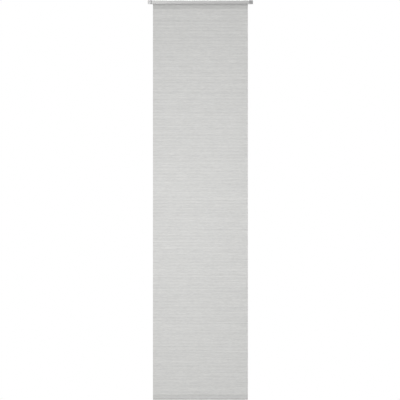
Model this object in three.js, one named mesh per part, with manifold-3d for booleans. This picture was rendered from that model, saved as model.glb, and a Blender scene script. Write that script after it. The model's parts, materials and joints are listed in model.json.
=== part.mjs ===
// A sliding panel curtain: a short ceiling rail of extruded aluminium, closed by two moulded end caps,
// in which a flat cloth panel runs on two four-wheel trucks. The cloth hangs by a hook-and-loop tape
// from an extruded carrier, and a weight bar in its bottom hem keeps it flat.
//
// All sizes are in millimetres. X runs along the rail, Y from front to back, Z up. The origin is the
// middle of the rail's top face, which lies against the ceiling.

import * as THREE from "three";
import { mergeVertices } from "three/addons/utils/BufferGeometryUtils.js";
import Module from "manifold-3d";

// Cloth panel
const PANEL_WIDTH = 600;
const PANEL_DROP = 2500; // top edge to the bottom of the hem
const CLOTH_THICKNESS = 0.6;
const HEM_HEIGHT = 30; // bottom of the hem up to its seam
const HEM_TURN_UP = 5; // cloth sewn flat above the seam
const RIB_PITCH = 12; // mean distance between two thick weft yarns
const RIB_REPEAT = 12; // ribs after which the uneven spacing starts again
const RIB_SHIFT = 3; // furthest that a rib lies from its even place
const RIB_WIDTH = 2.4;
const RIB_HEIGHT = 0.3;
const RIB_HEIGHT_RANGE = 0.12; // the thickest rib stands this much higher

// Rail
const RAIL_OVERHANG = 7; // how far the rail reaches past the cloth at each end
const RAIL_DEPTH = 32;
const RAIL_HEIGHT = 23;
const RAIL_WALL = 1.5;
const RAIL_WEB = 2; // top wall, which takes the ceiling screws
const RAIL_TOP_RADIUS = 5.5;
const RAIL_FOOT_RADIUS = 1.2;
const SLOT_WIDTH = 8;
const SLOT_LIP_HEIGHT = 1.2; // upturned edge beside the slot
const SLOT_LIP_WIDTH = 0.9;
const TRACK_RIB_HEIGHT = 0.7; // ridge on which a wheel rolls
const TRACK_RIB_WIDTH = 1.6;
const DRILL_LINE_WIDTH = 1.4; // groove that guides a drill along the web
const DRILL_LINE_DEPTH = 0.5;
const SCREW_SPACING = 400;
const SCREW_HOLE_RADIUS = 2.25;
const SCREW_SINK_RADIUS = 3.9;
const SCREW_SINK_DEPTH = 1.5;

// Rail end cap
const CAP_LENGTH = 25;
const CAP_PROUD = 0.3; // how far the cap's edge stands out from the rail's front and back
const CAP_CREST = 6.5; // from that edge to where the front and back stand out furthest
const CAP_CROWN = 1.3; // how far they stand out there
const CAP_TAPER = 0.6; // how far they have come in past the rail's face at the outer end
const CAP_WALL = 2;
const CAP_CORNER_RADIUS = 1.4;
const CAP_EDGE_RADIUS = 0.7;
const PLUG_REACH = 15; // how far the plug goes into the rail
const PLUG_WALL = 2;
const PLUG_STOP_WALL = 2.5;

// Truck: the small carriage with four wheels
const TRUCK_INSET = 60; // carrier's end to the truck's middle
const TRUCK_LENGTH = 44;
const TRUCK_SPINE_WIDTH = 6.4;
const TRUCK_SPINE_HEIGHT = 7;
const TRUCK_NECK_LENGTH = 16;
const TRUCK_NOSE_RADIUS = 2.5;
const TRUCK_HUB_RADIUS = 4.6; // round boss about an axle
const TRUCK_HUB_PROUD = 0.25;
const TRUCK_FOOT_LENGTH = 26;
const AXLE_SPACING = 24;
const AXLE_RADIUS = 1.25;
const AXLE_HEAD_RADIUS = 2.1;
const AXLE_HEAD_THICKNESS = 0.6;
const WHEEL_RADIUS = 6;
const WHEEL_WIDTH = 4.5;
const WHEEL_EDGE = 0.35; // chamfer of the tread
const WHEEL_RIM = 1.2;
const WHEEL_DISC = 1.3; // thickness of the disc between hub and rim
const WHEEL_HUB_RADIUS = 2.5;

// Carrier: the extruded strip that holds the cloth
const CARRIER_HEIGHT = 26.5;
const CARRIER_WALL = 1.4;
const CARRIER_SLOT = 5;
const CARRIER_CHANNEL_WIDTH = 10;
const CARRIER_CHANNEL_HEIGHT = 4.6;
const CARRIER_BEAD = 2.8; // thickened lower edge
const CARRIER_RADIUS = 0.8;
const CARRIER_CAP_FLANGE = 1.6;
const CARRIER_CAP_TONGUE = 12;

// Hook and loop tapes
const TAPE_WIDTH = 20;
const TAPE_SEAT_DEPTH = 0.4;
const HOOK_TAPE_THICKNESS = 1.6;
const LOOP_TAPE_THICKNESS = 1.2;
const LOOP_TAPE_INSET = 1.5; // how far the loop tape ends before the cloth's edge

// Weight bar in the hem
const BAR_HEIGHT = 16;
const BAR_THICKNESS = 8;
const BAR_BORE_RADIUS = 2.2;
const BAR_CAP_FLANGE = 2.5;
const BAR_PEG_RADIUS = 2;
const BAR_PEG_LENGTH = 10;
const BAR_CAP_BEVEL = 0.6;

// Clearances
const RUN_GAP = 1.5; // under the rail, above the carrier
const WHEEL_GAP = 0.15; // wheel to its track at rest
const SPIN_GAP = 0.1; // wheel bore and hub to the axle and the truck
const FIT_GAP = 0.3; // between pieces that are pushed together
const BOND_GAP = 0.1; // between flat faces that are bonded or pressed together
const BAR_GAP = 0.3; // weight bar to the cloth round it

// How finely round shapes are divided: flat faces in a full turn, or in a quarter or half arc
const HOLE_FACETS = 24;
const HUB_FACETS = 16;
const WHEEL_FACETS = 18;
const PEG_FACETS = 12;
const OUTER_ARC_FACETS = 6;
const INNER_ARC_FACETS = 3;
const SMALL_ARC_FACETS = 2;
const HEM_OUTER_ARC_FACETS = 5;
const HEM_INNER_ARC_FACETS = 4;

// Places that follow from the sizes above
const RAIL_LENGTH = PANEL_WIDTH + 2 * RAIL_OVERHANG;
const RAIL_INNER_RADIUS = RAIL_TOP_RADIUS - RAIL_WEB;
const CARRIER_TOP = -(RAIL_HEIGHT + RUN_GAP);
const CARRIER_LENGTH = PANEL_WIDTH - 2 * (CARRIER_CAP_FLANGE + BOND_GAP);
const CARRIER_FRONT = -(CARRIER_CHANNEL_WIDTH / 2 + CARRIER_WALL);
const TAPE_SEAT = CARRIER_FRONT + TAPE_SEAT_DEPTH;
const HOOK_TAPE_MIDDLE = TAPE_SEAT - BOND_GAP - HOOK_TAPE_THICKNESS / 2;
const LOOP_TAPE_MIDDLE = HOOK_TAPE_MIDDLE - HOOK_TAPE_THICKNESS / 2 - BOND_GAP - LOOP_TAPE_THICKNESS / 2;
const CLOTH_MIDDLE = LOOP_TAPE_MIDDLE - LOOP_TAPE_THICKNESS / 2 - BOND_GAP - CLOTH_THICKNESS / 2;
const TAPE_TOP = (CARRIER_HEIGHT - TAPE_WIDTH) / 2; // below the carrier's top
const CLOTH_FOOT = -PANEL_DROP; // below the cloth's own top edge
const TRACK_TOP = -RAIL_HEIGHT + RAIL_WALL + TRACK_RIB_HEIGHT;
const AXLE_HEIGHT = TRACK_TOP + WHEEL_GAP + WHEEL_RADIUS;
const TRUCK_SIDE = TRUCK_SPINE_WIDTH / 2 + TRUCK_HUB_PROUD;
const WHEEL_INNER_FACE = SLOT_WIDTH / 2 + SLOT_LIP_WIDTH + FIT_GAP;
const WHEEL_MIDDLE = WHEEL_INNER_FACE + WHEEL_WIDTH / 2;
const AXLE_HEAD_FACE = WHEEL_MIDDLE + WHEEL_WIDTH / 2 + 2 * SPIN_GAP;
const TRUCK_PLACE = PANEL_WIDTH / 2 - TRUCK_INSET;

// Materials
const COLOURS = {
  aluminium: { color: 0xc6c6c4, roughness: 0.38, metalness: 1 },
  greyPlastic: { color: 0xb9b9b7, roughness: 0.45, metalness: 0.2 },
  whitePlastic: { color: 0xe9e9e6, roughness: 0.5, metalness: 0 },
  steel: { color: 0xb4b6b8, roughness: 0.3, metalness: 1 },
  cloth: { color: 0xcfcfcc, roughness: 0.95, metalness: 0 },
  tape: { color: 0xdededa, roughness: 1, metalness: 0 },
};

const wasm = await Module();
wasm.setup();

// Turning a section: its x goes to Y and its y to Z, and it is drawn out along X.
const ALONG_RAIL = new THREE.Matrix4().makeBasis(
  new THREE.Vector3(0, 1, 0),
  new THREE.Vector3(0, 0, 1),
  new THREE.Vector3(1, 0, 0),
);
// Turning a side view: its x stays X and its y goes to Z, and it is drawn out along Y.
const ACROSS_RAIL = new THREE.Matrix4().makeBasis(
  new THREE.Vector3(1, 0, 0),
  new THREE.Vector3(0, 0, 1),
  new THREE.Vector3(0, -1, 0),
);

function mesh(name, geometry, look) {
  const made = new THREE.Mesh(geometry, new THREE.MeshStandardMaterial(COLOURS[look]));
  made.name = name;
  return made;
}

function extruded(shape, length, turn) {
  const geometry = new THREE.ExtrudeGeometry(shape, { depth: length, bevelEnabled: false });
  geometry.translate(0, 0, -length / 2);
  return geometry.applyMatrix4(turn);
}

function box(sizeX, sizeY, sizeZ, x, y, z) {
  return new THREE.BoxGeometry(sizeX, sizeY, sizeZ).translate(x, y, z);
}

// A closed three.js geometry as a solid that can be joined and cut.
function solid(geometry) {
  const bare = geometry.index ? geometry.toNonIndexed() : geometry.clone();
  bare.deleteAttribute("normal");
  bare.deleteAttribute("uv");
  const merged = mergeVertices(bare, 1e-4);
  return new wasm.Manifold(
    new wasm.Mesh({
      numProp: 3,
      vertProperties: merged.attributes.position.array,
      triVerts: new Uint32Array(merged.index.array),
    }),
  );
}

function geometryOf(made) {
  const { vertProperties, triVerts } = made.getMesh();
  const geometry = new THREE.BufferGeometry();
  geometry.setAttribute("position", new THREE.BufferAttribute(vertProperties, 3));
  geometry.setIndex(new THREE.BufferAttribute(triVerts, 1));
  geometry.computeVertexNormals();
  return geometry;
}

// A closed solid through a row of outlines that stand along X. Each has as many points as the others.
function lofted(rings) {
  const count = rings[0].outline.length;
  const places = rings.flatMap(({ x, outline }) => outline.flatMap((p) => [x, p.x, p.y]));
  const faces = [];
  for (let start = 0; start + count < rings.length * count; start += count) {
    for (let i = 0; i < count; i += 1) {
      const here = start + i;
      const next = start + ((i + 1) % count);
      faces.push(here, next, next + count, here, next + count, here + count);
    }
  }
  const last = (rings.length - 1) * count;
  for (const [a, b, c] of THREE.ShapeUtils.triangulateShape(rings[0].outline, [])) {
    faces.push(a, c, b, last + a, last + b, last + c);
  }
  const geometry = new THREE.BufferGeometry();
  geometry.setAttribute("position", new THREE.Float32BufferAttribute(places, 3));
  return geometry.setIndex(faces);
}

function joined(geometries) {
  return geometries.map(solid).reduce((whole, piece) => whole.add(piece));
}

const mirrored = (points) => points.map((p) => new THREE.Vector2(-p.x, p.y));

// Rail

// The outside of the rail from the slot's edge round its foot and up the back to its flat top.
function railSide() {
  const side = RAIL_DEPTH / 2;
  const footMiddle = side - RAIL_FOOT_RADIUS;
  const path = new THREE.Path();
  path.moveTo(SLOT_WIDTH / 2, -RAIL_HEIGHT);
  path.lineTo(footMiddle, -RAIL_HEIGHT);
  path.absarc(footMiddle, -RAIL_HEIGHT + RAIL_FOOT_RADIUS, RAIL_FOOT_RADIUS, -Math.PI / 2, 0, false);
  path.lineTo(side, -RAIL_TOP_RADIUS);
  path.absarc(side - RAIL_TOP_RADIUS, -RAIL_TOP_RADIUS, RAIL_TOP_RADIUS, 0, Math.PI / 2, false);
  return path.getPoints(OUTER_ARC_FACETS);
}

// The inside of the running channel, from the slot's edge up the back to the middle of the web.
function channelSide() {
  const floor = -RAIL_HEIGHT + RAIL_WALL;
  const wall = RAIL_DEPTH / 2 - RAIL_WALL;
  const shoulder = -RAIL_WEB - RAIL_INNER_RADIUS;
  const slot = SLOT_WIDTH / 2;
  const path = new THREE.Path();
  path.moveTo(slot, floor + SLOT_LIP_HEIGHT);
  path.lineTo(slot + SLOT_LIP_WIDTH, floor + SLOT_LIP_HEIGHT);
  path.lineTo(slot + SLOT_LIP_WIDTH, floor);
  path.lineTo(WHEEL_MIDDLE - TRACK_RIB_WIDTH / 2, floor);
  path.lineTo(WHEEL_MIDDLE - TRACK_RIB_WIDTH / 4, TRACK_TOP);
  path.lineTo(WHEEL_MIDDLE + TRACK_RIB_WIDTH / 4, TRACK_TOP);
  path.lineTo(WHEEL_MIDDLE + TRACK_RIB_WIDTH / 2, floor);
  path.lineTo(wall, floor);
  path.lineTo(wall, shoulder);
  path.absarc(wall - RAIL_INNER_RADIUS, shoulder, RAIL_INNER_RADIUS, 0, Math.PI / 2, false);
  path.lineTo(DRILL_LINE_WIDTH / 2, -RAIL_WEB);
  path.lineTo(0, -RAIL_WEB + DRILL_LINE_DEPTH);
  return path.getPoints(INNER_ARC_FACETS);
}

function railSection() {
  const outside = railSide();
  const inside = channelSide();
  return new THREE.Shape([
    ...outside,
    ...mirrored(outside).reverse(),
    ...mirrored(inside),
    ...inside.slice(0, -1).reverse(),
  ]);
}

// A ceiling screw's hole with its countersink, which opens into the channel.
function screwHole(x) {
  const through = RAIL_WEB + 1;
  const profile = [
    new THREE.Vector2(0, -through),
    new THREE.Vector2(SCREW_SINK_RADIUS, -through),
    new THREE.Vector2(SCREW_SINK_RADIUS, -RAIL_WEB),
    new THREE.Vector2(SCREW_HOLE_RADIUS, -RAIL_WEB + SCREW_SINK_DEPTH),
    new THREE.Vector2(SCREW_HOLE_RADIUS, 1),
    new THREE.Vector2(0, 1),
  ];
  return new THREE.LatheGeometry(profile, HOLE_FACETS).rotateX(Math.PI / 2).translate(x, 0, 0);
}

function rail() {
  const blank = solid(extruded(railSection(), RAIL_LENGTH, ALONG_RAIL));
  const drilled = [-SCREW_SPACING / 2, SCREW_SPACING / 2].reduce(
    (whole, x) => whole.subtract(solid(screwHole(x))),
    blank,
  );
  return mesh("rail", geometryOf(drilled), "aluminium");
}

// How far the cap's front and back stand from the rail's middle, at a distance from its inner edge.
function capSide(x) {
  const rise = (CAP_CROWN - CAP_PROUD) * Math.min(x / CAP_CREST, 1);
  const fall = (CAP_CROWN + CAP_TAPER) * Math.max((x - CAP_CREST) / (CAP_LENGTH - CAP_CREST), 0);
  return RAIL_DEPTH / 2 + CAP_PROUD + rise - fall;
}

// The cap's outline in section at that distance, drawn in by an inset.
function capRing(x, inset) {
  const side = capSide(x) - inset;
  const [low, high] = [inset - RAIL_HEIGHT, -inset];
  const radius = Math.max(CAP_CORNER_RADIUS - inset, 0);
  const corners = [
    [side - radius, low + radius, -0.5],
    [side - radius, high - radius, 0],
    [radius - side, high - radius, 0.5],
    [radius - side, low + radius, 1],
  ];
  const path = new THREE.Path();
  for (const [y, z, turn] of corners) {
    path.absarc(y, z, radius, turn * Math.PI, (turn + 0.5) * Math.PI, false);
  }
  const sharp = corners.map(([y, z]) => new THREE.Vector2(y, z));
  return { x, outline: radius > 0 ? path.getPoints(INNER_ARC_FACETS) : sharp };
}

// The collar's rings from its inner edge to its outer end, both of which are rounded.
function collarRings() {
  const edge = [];
  for (let i = 0; i <= INNER_ARC_FACETS; i += 1) {
    const turn = ((i / INNER_ARC_FACETS) * Math.PI) / 2;
    edge.push([CAP_EDGE_RADIUS * (1 - Math.cos(turn)), CAP_EDGE_RADIUS * (1 - Math.sin(turn))]);
  }
  const start = edge.map(([x, inset]) => capRing(x, inset));
  const end = edge.map(([x, inset]) => capRing(CAP_LENGTH - x, inset)).reverse();
  return [...start, capRing(CAP_CREST, 0), ...end];
}

// The cap's plug, drawn in plan: two cheeks whose roots thicken inside the collar, joined by the stop.
function capPlug() {
  const side = RAIL_DEPTH / 2 - RAIL_WALL - FIT_GAP;
  const inner = side - PLUG_WALL;
  const inWall = (x) => [x, capSide(x) - CAP_WALL / 2];
  const root = CAP_LENGTH - CAP_WALL / 2;
  const half = [
    [-PLUG_REACH, side],
    [CAP_EDGE_RADIUS, side],
    inWall(CAP_EDGE_RADIUS),
    inWall(CAP_CREST),
    inWall(root),
    [root, inner],
    [PLUG_STOP_WALL - PLUG_REACH, inner],
  ];
  const otherHalf = half.map(([x, y]) => [x, -y]).reverse();
  const outline = [...otherHalf, ...half].map(([x, y]) => new THREE.Vector2(x, y));
  const foot = -RAIL_HEIGHT + RAIL_WALL + SLOT_LIP_HEIGHT + FIT_GAP;
  const height = -RAIL_WEB - RAIL_INNER_RADIUS - foot;
  const plug = new THREE.ExtrudeGeometry(new THREE.Shape(outline), { depth: height, bevelEnabled: false });
  return plug.translate(0, 0, foot);
}

// The moulded cap: a hollow collar round the rail's end, crowned at the front and back, and a plug of
// two cheeks, rooted in the collar's sides, that goes into the channel. The wall across the plug's end
// is the stop that the truck's nose meets. It is drawn for the right end.
function railEndCap(name) {
  const hollowRings = [0, CAP_CREST, CAP_LENGTH - CAP_WALL].map((x) => capRing(x, CAP_WALL));
  const mouth = { x: -CAP_WALL, outline: hollowRings[0].outline };
  const shell = solid(lofted(collarRings())).subtract(solid(lofted([mouth, ...hollowRings])));
  const body = shell.add(solid(capPlug()));
  const placed = mesh(name, geometryOf(body), "greyPlastic");
  placed.position.x = RAIL_LENGTH / 2 + BOND_GAP;
  return placed;
}

// Trucks

// The truck's upper body from the side: a spine with a round boss about each axle and round noses.
function truckSpine() {
  const end = TRUCK_LENGTH / 2 - TRUCK_NOSE_RADIUS;
  const rise = TRUCK_SPINE_HEIGHT / 2 - TRUCK_NOSE_RADIUS;
  const noses = [
    [end, -rise, -0.5],
    [end, rise, 0],
    [-end, rise, 0.5],
    [-end, -rise, 1],
  ];
  const shape = new THREE.Shape();
  for (const [x, z, turn] of noses) {
    shape.absarc(x, AXLE_HEIGHT + z, TRUCK_NOSE_RADIUS, turn * Math.PI, (turn + 0.5) * Math.PI, false);
  }
  const outline = new THREE.Shape(shape.getPoints(SMALL_ARC_FACETS));
  return extruded(outline, TRUCK_SPINE_WIDTH, ACROSS_RAIL);
}

function acrossCylinder(radius, width, x, z, facets) {
  return new THREE.CylinderGeometry(radius, radius, width, facets).translate(x, 0, z);
}

// The truck below its spine: a neck through the rail's slot, and a foot held in the carrier's channel.
function truckNeck() {
  const shoulder = CARRIER_TOP + BOND_GAP;
  const neckSide = CARRIER_SLOT / 2 - FIT_GAP;
  const footTop = CARRIER_TOP - CARRIER_WALL - BOND_GAP;
  const footBottom = CARRIER_TOP - CARRIER_WALL - CARRIER_CHANNEL_HEIGHT + FIT_GAP;
  const footSide = CARRIER_CHANNEL_WIDTH / 2 - FIT_GAP;
  const halfNeck = TRUCK_NECK_LENGTH / 2;
  const halfFoot = TRUCK_FOOT_LENGTH / 2;
  const block = (halfX, halfY, low, high) => box(2 * halfX, 2 * halfY, high - low, 0, 0, (low + high) / 2);
  return [
    block(halfNeck, TRUCK_SPINE_WIDTH / 2, shoulder, AXLE_HEIGHT),
    block(halfNeck, neckSide, (footTop + footBottom) / 2, AXLE_HEIGHT),
    block(halfFoot, footSide, footBottom, footTop),
  ];
}

function truckBody(name) {
  const bosses = [];
  const bores = [];
  for (const side of [-1, 1]) {
    const x = (side * AXLE_SPACING) / 2;
    bosses.push(acrossCylinder(TRUCK_HUB_RADIUS, TRUCK_SPINE_WIDTH, x, AXLE_HEIGHT, HOLE_FACETS));
    bosses.push(acrossCylinder(WHEEL_HUB_RADIUS, 2 * TRUCK_SIDE, x, AXLE_HEIGHT, HUB_FACETS));
    bores.push(acrossCylinder(AXLE_RADIUS + SPIN_GAP, 2 * TRUCK_SIDE + 1, x, AXLE_HEIGHT, HUB_FACETS));
  }
  const body = joined([truckSpine(), ...bosses, ...truckNeck()]).subtract(joined(bores));
  return mesh(name, geometryOf(body), "whitePlastic");
}

// A steel pin through the truck, with a head outside the wheel at each end.
function axle(name) {
  const end = AXLE_HEAD_FACE + AXLE_HEAD_THICKNESS;
  const half = [
    new THREE.Vector2(AXLE_RADIUS, AXLE_HEAD_FACE),
    new THREE.Vector2(AXLE_HEAD_RADIUS, AXLE_HEAD_FACE),
    new THREE.Vector2(AXLE_HEAD_RADIUS - AXLE_HEAD_THICKNESS / 2, end),
    new THREE.Vector2(0, end),
  ];
  const otherHalf = half.map((p) => new THREE.Vector2(p.x, -p.y)).reverse();
  return mesh(name, new THREE.LatheGeometry([...otherHalf, ...half], HUB_FACETS), "steel");
}

// A wheel with its hub, disc and rim, turned about Y. Its long hub side faces the truck, at -Y.
function wheel(name) {
  const bore = AXLE_RADIUS + SPIN_GAP;
  const half = WHEEL_WIDTH / 2;
  const hubInner = -(WHEEL_MIDDLE - TRUCK_SIDE - SPIN_GAP);
  const hubOuter = half + SPIN_GAP;
  const rimInside = WHEEL_RADIUS - WHEEL_RIM;
  const profile = [
    [bore, hubInner],
    [WHEEL_HUB_RADIUS, hubInner],
    [WHEEL_HUB_RADIUS, -WHEEL_DISC / 2],
    [rimInside, -WHEEL_DISC / 2],
    [rimInside, -half],
    [WHEEL_RADIUS - WHEEL_EDGE, -half],
    [WHEEL_RADIUS, -half + WHEEL_EDGE],
    [WHEEL_RADIUS, half - WHEEL_EDGE],
    [WHEEL_RADIUS - WHEEL_EDGE, half],
    [rimInside, half],
    [rimInside, WHEEL_DISC / 2],
    [WHEEL_HUB_RADIUS, WHEEL_DISC / 2],
    [WHEEL_HUB_RADIUS, hubOuter],
    [bore, hubOuter],
    [bore, hubInner],
  ].map(([r, y]) => new THREE.Vector2(r, y));
  return mesh(name, new THREE.LatheGeometry(profile, WHEEL_FACETS), "whitePlastic");
}

function truck(side) {
  const group = new THREE.Group();
  group.add(truckBody(`truck_${side}`));
  for (const [end, direction] of [["outer", 1], ["inner", -1]]) {
    const x = ((side === "right" ? 1 : -1) * direction * AXLE_SPACING) / 2;
    const pin = axle(`axle_${side}_${end}`);
    pin.position.set(x, 0, AXLE_HEIGHT);
    group.add(pin);
    for (const [face, facing] of [["front", -1], ["back", 1]]) {
      const roller = wheel(`wheel_${side}_${end}_${face}`);
      roller.position.set(x, facing * WHEEL_MIDDLE, AXLE_HEIGHT);
      roller.rotation.z = facing > 0 ? 0 : Math.PI;
      group.add(roller);
    }
  }
  group.position.x = side === "right" ? TRUCK_PLACE : -TRUCK_PLACE;
  return group;
}

// Carrier

// The outside of the carrier's section, anticlockwise from the front edge of the slot in its top.
function carrierOutline() {
  const back = CARRIER_CHANNEL_WIDTH / 2 + CARRIER_WALL;
  const boxFoot = -(2 * CARRIER_WALL + CARRIER_CHANNEL_HEIGHT);
  const plateBack = CARRIER_FRONT + CARRIER_WALL;
  const r = CARRIER_RADIUS;
  const path = new THREE.Path();
  path.moveTo(-CARRIER_SLOT / 2, 0);
  path.lineTo(CARRIER_FRONT, 0);
  path.lineTo(CARRIER_FRONT, -TAPE_TOP);
  path.lineTo(TAPE_SEAT, -TAPE_TOP);
  path.lineTo(TAPE_SEAT, -TAPE_TOP - TAPE_WIDTH);
  path.lineTo(CARRIER_FRONT, -TAPE_TOP - TAPE_WIDTH);
  path.absarc(CARRIER_FRONT + r, -CARRIER_HEIGHT + r, r, Math.PI, 1.5 * Math.PI, false);
  path.absarc(CARRIER_FRONT + CARRIER_BEAD - r, -CARRIER_HEIGHT + r, r, -Math.PI / 2, 0, false);
  path.lineTo(CARRIER_FRONT + CARRIER_BEAD, -CARRIER_HEIGHT + CARRIER_BEAD - r);
  path.lineTo(plateBack, -CARRIER_HEIGHT + CARRIER_BEAD);
  path.lineTo(plateBack, boxFoot);
  path.absarc(back - r, boxFoot + r, r, -Math.PI / 2, 0, false);
  path.absarc(back - r, -r, r, 0, Math.PI / 2, false);
  path.lineTo(CARRIER_SLOT / 2, 0);
  return path.getPoints(SMALL_ARC_FACETS);
}

function carrier() {
  const half = CARRIER_CHANNEL_WIDTH / 2;
  const roof = -CARRIER_WALL;
  const floor = -CARRIER_WALL - CARRIER_CHANNEL_HEIGHT;
  const slot = CARRIER_SLOT / 2;
  const channel = [
    [slot, roof],
    [half, roof],
    [half, floor],
    [-half, floor],
    [-half, roof],
    [-slot, roof],
  ].map(([y, z]) => new THREE.Vector2(y, z));
  const section = new THREE.Shape([...carrierOutline(), ...channel]);
  const made = mesh("carrier", extruded(section, CARRIER_LENGTH, ALONG_RAIL), "aluminium");
  made.position.z = CARRIER_TOP;
  return made;
}

// A plug that closes the carrier's channel: a flange the shape of the section, and a tongue. It is
// drawn for the right end.
function carrierEndCap(name) {
  const flange = extruded(new THREE.Shape(carrierOutline()), CARRIER_CAP_FLANGE, ALONG_RAIL);
  flange.translate(CARRIER_CAP_FLANGE / 2, 0, 0);
  const middle = -CARRIER_WALL - CARRIER_CHANNEL_HEIGHT / 2;
  const length = CARRIER_CAP_TONGUE + CARRIER_CAP_FLANGE / 2;
  const width = CARRIER_CHANNEL_WIDTH - 2 * FIT_GAP;
  const height = CARRIER_CHANNEL_HEIGHT - 2 * FIT_GAP;
  const tongue = box(length, width, height, CARRIER_CAP_FLANGE / 2 - length / 2, 0, middle);
  const made = mesh(name, geometryOf(joined([flange, tongue])), "greyPlastic");
  made.position.set(CARRIER_LENGTH / 2 + BOND_GAP, 0, CARRIER_TOP);
  return made;
}

function tape(name, length, thickness, middle) {
  const strip = mesh(name, box(length, thickness, TAPE_WIDTH - 2 * BOND_GAP, 0, 0, 0), "tape");
  strip.position.set(0, middle, CARRIER_TOP - TAPE_TOP - TAPE_WIDTH / 2);
  return strip;
}

// Cloth

// The hem as a loop round the bar at a distance from it: up the front of the bar, over to the seam,
// and down its back. It runs anticlockwise from the front side of the seam.
function hemLoop(distance, seamFront, seamBack, facets) {
  const radius = BAR_THICKNESS / 2 + distance;
  const low = CLOTH_FOOT + CLOTH_THICKNESS + BAR_GAP + BAR_THICKNESS / 2;
  const high = low + BAR_HEIGHT - BAR_THICKNESS;
  const path = new THREE.Path();
  path.moveTo(seamFront, CLOTH_FOOT + HEM_HEIGHT);
  path.lineTo(-radius, high);
  path.absarc(0, low, radius, Math.PI, 2 * Math.PI, false);
  path.lineTo(radius, high);
  path.lineTo(seamBack, CLOTH_FOOT + HEM_HEIGHT);
  return path.getPoints(facets);
}

// Adds a rib to a line of points wherever the weave has a thick yarn. The ribs stand out to the right
// of the line's direction, which is the outside of an outline that runs anticlockwise.
function ribbed(line) {
  const points = [line[0]];
  let along = 0;
  let count = 0;
  let [place, height] = yarn(count);
  for (let i = 1; i < line.length; i += 1) {
    const [from, to] = [line[i - 1], line[i]];
    const run = to.clone().sub(from);
    const length = run.length();
    const direction = run.divideScalar(length);
    const outwards = new THREE.Vector2(direction.y, -direction.x);
    const at = (distance, rise) =>
      from.clone().addScaledVector(direction, distance).addScaledVector(outwards, rise);
    while (place + RIB_WIDTH / 2 < along + length) {
      const middle = place - along;
      if (middle - RIB_WIDTH / 2 > 0) {
        points.push(at(middle - RIB_WIDTH / 2, 0), at(middle, height), at(middle + RIB_WIDTH / 2, 0));
      }
      count += 1;
      [place, height] = yarn(count);
    }
    points.push(to);
    along += length;
  }
  return points;
}

// Where the weave's thick yarns lie along the cloth, and how far each stands out of it.
function yarn(count) {
  const phase = (2 * Math.PI * (count % RIB_REPEAT)) / RIB_REPEAT;
  const shift = RIB_SHIFT * Math.sin(5 * phase);
  const height = RIB_HEIGHT + RIB_HEIGHT_RANGE * Math.sin(3 * phase + 1);
  return [(count + 1) * RIB_PITCH + shift, height];
}

function clothPanel() {
  const half = CLOTH_THICKNESS / 2;
  const turnUp = CLOTH_FOOT + HEM_HEIGHT + HEM_TURN_UP;
  const front = ribbed([
    new THREE.Vector2(-half, 0),
    ...hemLoop(BAR_GAP + CLOTH_THICKNESS, -half, half + CLOTH_THICKNESS, HEM_OUTER_ARC_FACETS),
    new THREE.Vector2(half + CLOTH_THICKNESS, turnUp),
  ]);
  const tapeFoot = -(TAPE_TOP + TAPE_WIDTH);
  const back = ribbed([new THREE.Vector2(half, turnUp), new THREE.Vector2(half, tapeFoot)]);
  const section = new THREE.Shape([...front, ...back, new THREE.Vector2(half, 0)]);
  section.holes.push(new THREE.Path(hemLoop(BAR_GAP, half, half, HEM_INNER_ARC_FACETS).slice(0, -1)));
  const made = mesh("cloth_panel", extruded(section, PANEL_WIDTH, ALONG_RAIL), "cloth");
  made.position.set(0, CLOTH_MIDDLE, CARRIER_TOP);
  return made;
}

// Weight bar

function barOutline() {
  const radius = BAR_THICKNESS / 2;
  const reach = BAR_HEIGHT / 2 - radius;
  const path = new THREE.Path();
  path.absarc(0, reach, radius, 0, Math.PI, false);
  path.absarc(0, -reach, radius, Math.PI, 2 * Math.PI, false);
  return path.getPoints(HEM_INNER_ARC_FACETS);
}

function weightBar() {
  const section = new THREE.Shape(barOutline());
  const bore = new THREE.Path();
  bore.absarc(0, 0, BAR_BORE_RADIUS, 0, 2 * Math.PI, true);
  section.holes.push(bore);
  const length = PANEL_WIDTH - 2 * (BAR_CAP_FLANGE + BOND_GAP);
  return mesh("weight_bar", extruded(section, length, ALONG_RAIL), "aluminium");
}

// The bar's plastic cap, a flange with a peg in the bar's bore. It is drawn for the right end.
function barCap(name) {
  const flange = new THREE.ExtrudeGeometry(new THREE.Shape(barOutline()), {
    depth: BAR_CAP_FLANGE - BAR_CAP_BEVEL,
    bevelThickness: BAR_CAP_BEVEL,
    bevelSize: BAR_CAP_BEVEL,
    bevelOffset: -BAR_CAP_BEVEL,
    bevelSegments: 2,
  }).applyMatrix4(ALONG_RAIL);
  const trim = box(2 * BAR_CAP_BEVEL, 2 * BAR_THICKNESS, 2 * BAR_HEIGHT, -BAR_CAP_BEVEL, 0, 0);
  const length = BAR_PEG_LENGTH + BAR_CAP_FLANGE / 2;
  const peg = new THREE.CylinderGeometry(BAR_PEG_RADIUS, BAR_PEG_RADIUS, length, PEG_FACETS)
    .rotateZ(Math.PI / 2)
    .translate(BAR_CAP_FLANGE / 2 - length / 2, 0, 0);
  const made = mesh(name, geometryOf(solid(flange).subtract(solid(trim)).add(solid(peg))), "greyPlastic");
  made.position.x = PANEL_WIDTH / 2 - BAR_CAP_FLANGE;
  return made;
}

function hemContents() {
  const group = new THREE.Group();
  const left = new THREE.Group();
  left.rotation.z = Math.PI;
  left.add(barCap("bar_cap_left"));
  group.add(weightBar(), left, barCap("bar_cap_right"));
  group.position.set(0, CLOTH_MIDDLE, CARRIER_TOP + CLOTH_FOOT + CLOTH_THICKNESS + BAR_GAP + BAR_HEIGHT / 2);
  return group;
}

// The whole curtain

const curtain = new THREE.Group();
curtain.name = "sliding_panel_curtain";

curtain.add(rail());
curtain.add(railEndCap("rail_end_cap_right"));
const leftEnd = new THREE.Group();
leftEnd.rotation.z = Math.PI;
leftEnd.add(railEndCap("rail_end_cap_left"));
curtain.add(leftEnd);

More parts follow.
